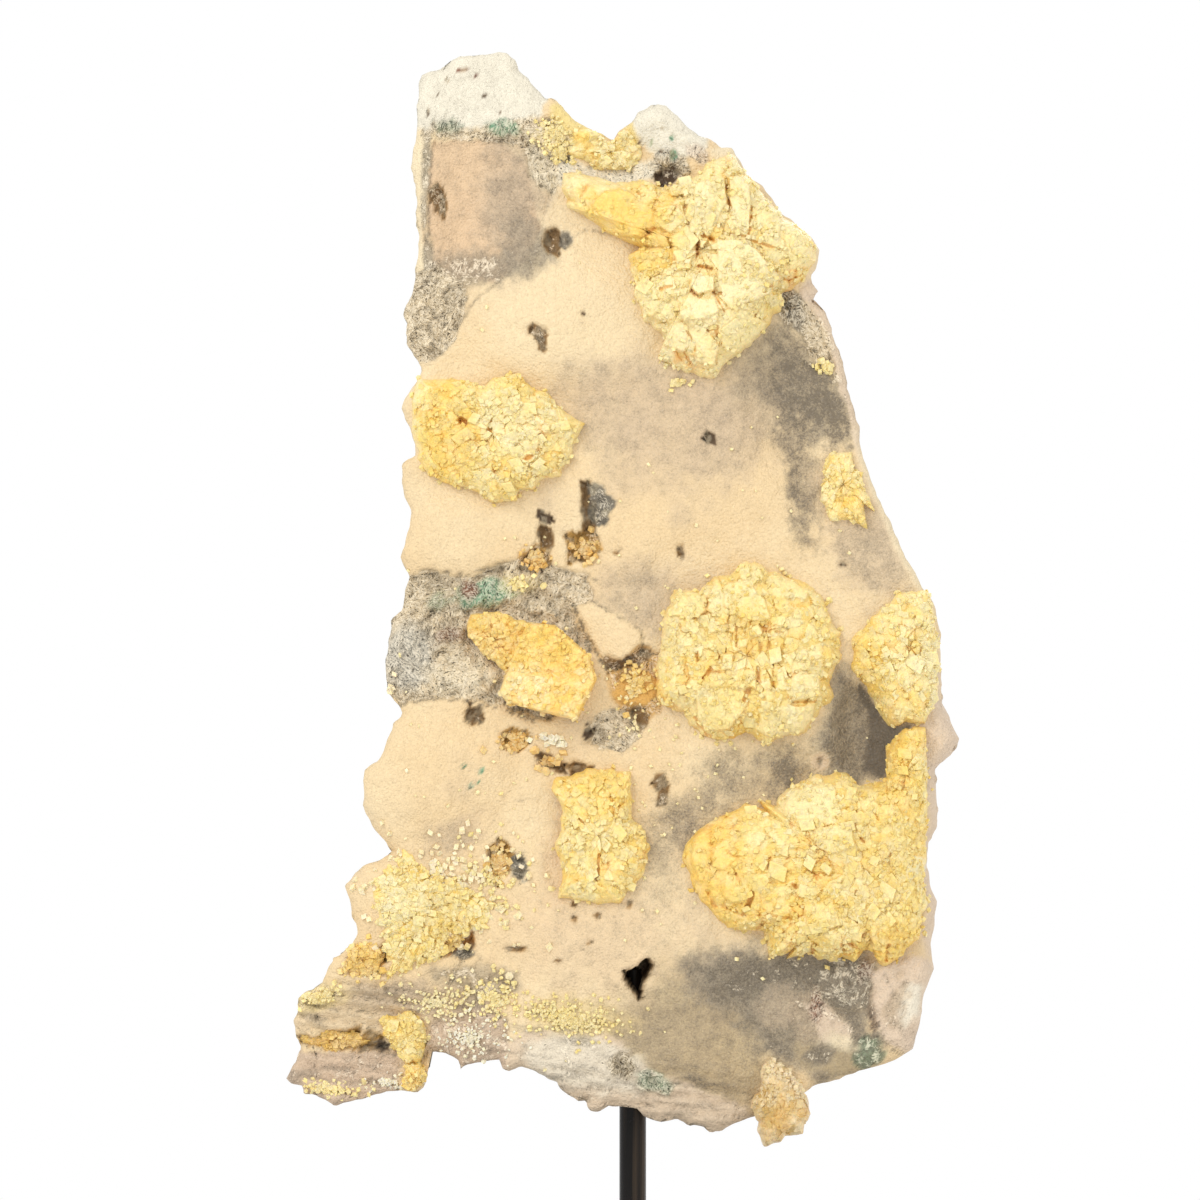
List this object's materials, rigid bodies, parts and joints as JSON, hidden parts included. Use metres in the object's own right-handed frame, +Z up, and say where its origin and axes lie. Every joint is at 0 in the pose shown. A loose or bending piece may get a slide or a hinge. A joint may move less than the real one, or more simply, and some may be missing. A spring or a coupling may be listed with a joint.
{
  "type": "calcite flower on stand",
  "caption": "Slab of rock under a druzy crust with clusters of yellow calcite crystals, held upright on a black steel rod that stands in a steel base plate.",
  "frame": {"origin": "middle of the base plate's underside, on the rod's axis", "axes": "+Z up along the rod, +X to the viewer's right, -Y out of the slab's crystal face towards the viewer"},
  "size_m": [0.299, 0.18, 0.6],
  "materials": {
    "druzy_rock": "fine druzy quartz crust over rough grey-green rock, matt with a fine glitter",
    "yellow_calcite": "soft, waxy, translucent yellow crystals with flat faces",
    "honey_calcite": "waxy honey-coloured crystals and grains",
    "black_steel": "satin black powder coat"
  },
  "bodies": {
    "root": {"base_plate": "black_steel", "steel_rod": "black_steel", "rock_slab": "druzy_rock", "calcite_flower_crown": "yellow_calcite", "calcite_flower_left": "yellow_calcite", "calcite_flower_centre": "yellow_calcite", "calcite_flower_right_edge": "yellow_calcite", "calcite_flower_lower_right": "yellow_calcite", "calcite_flower_lower_centre": "yellow_calcite", "honey_calcite_rhomb": "honey_calcite", "calcite_patch_right": "yellow_calcite", "calcite_druse_lower_left": "yellow_calcite", "calcite_knob": "yellow_calcite", "calcite_cluster_wing": "yellow_calcite", "calcite_notch_druse": "yellow_calcite", "honey_wing_pocket": "honey_calcite", "honey_wing_seam": "honey_calcite", "honey_wing_tip": "honey_calcite"}
  },
  "joints": []
}
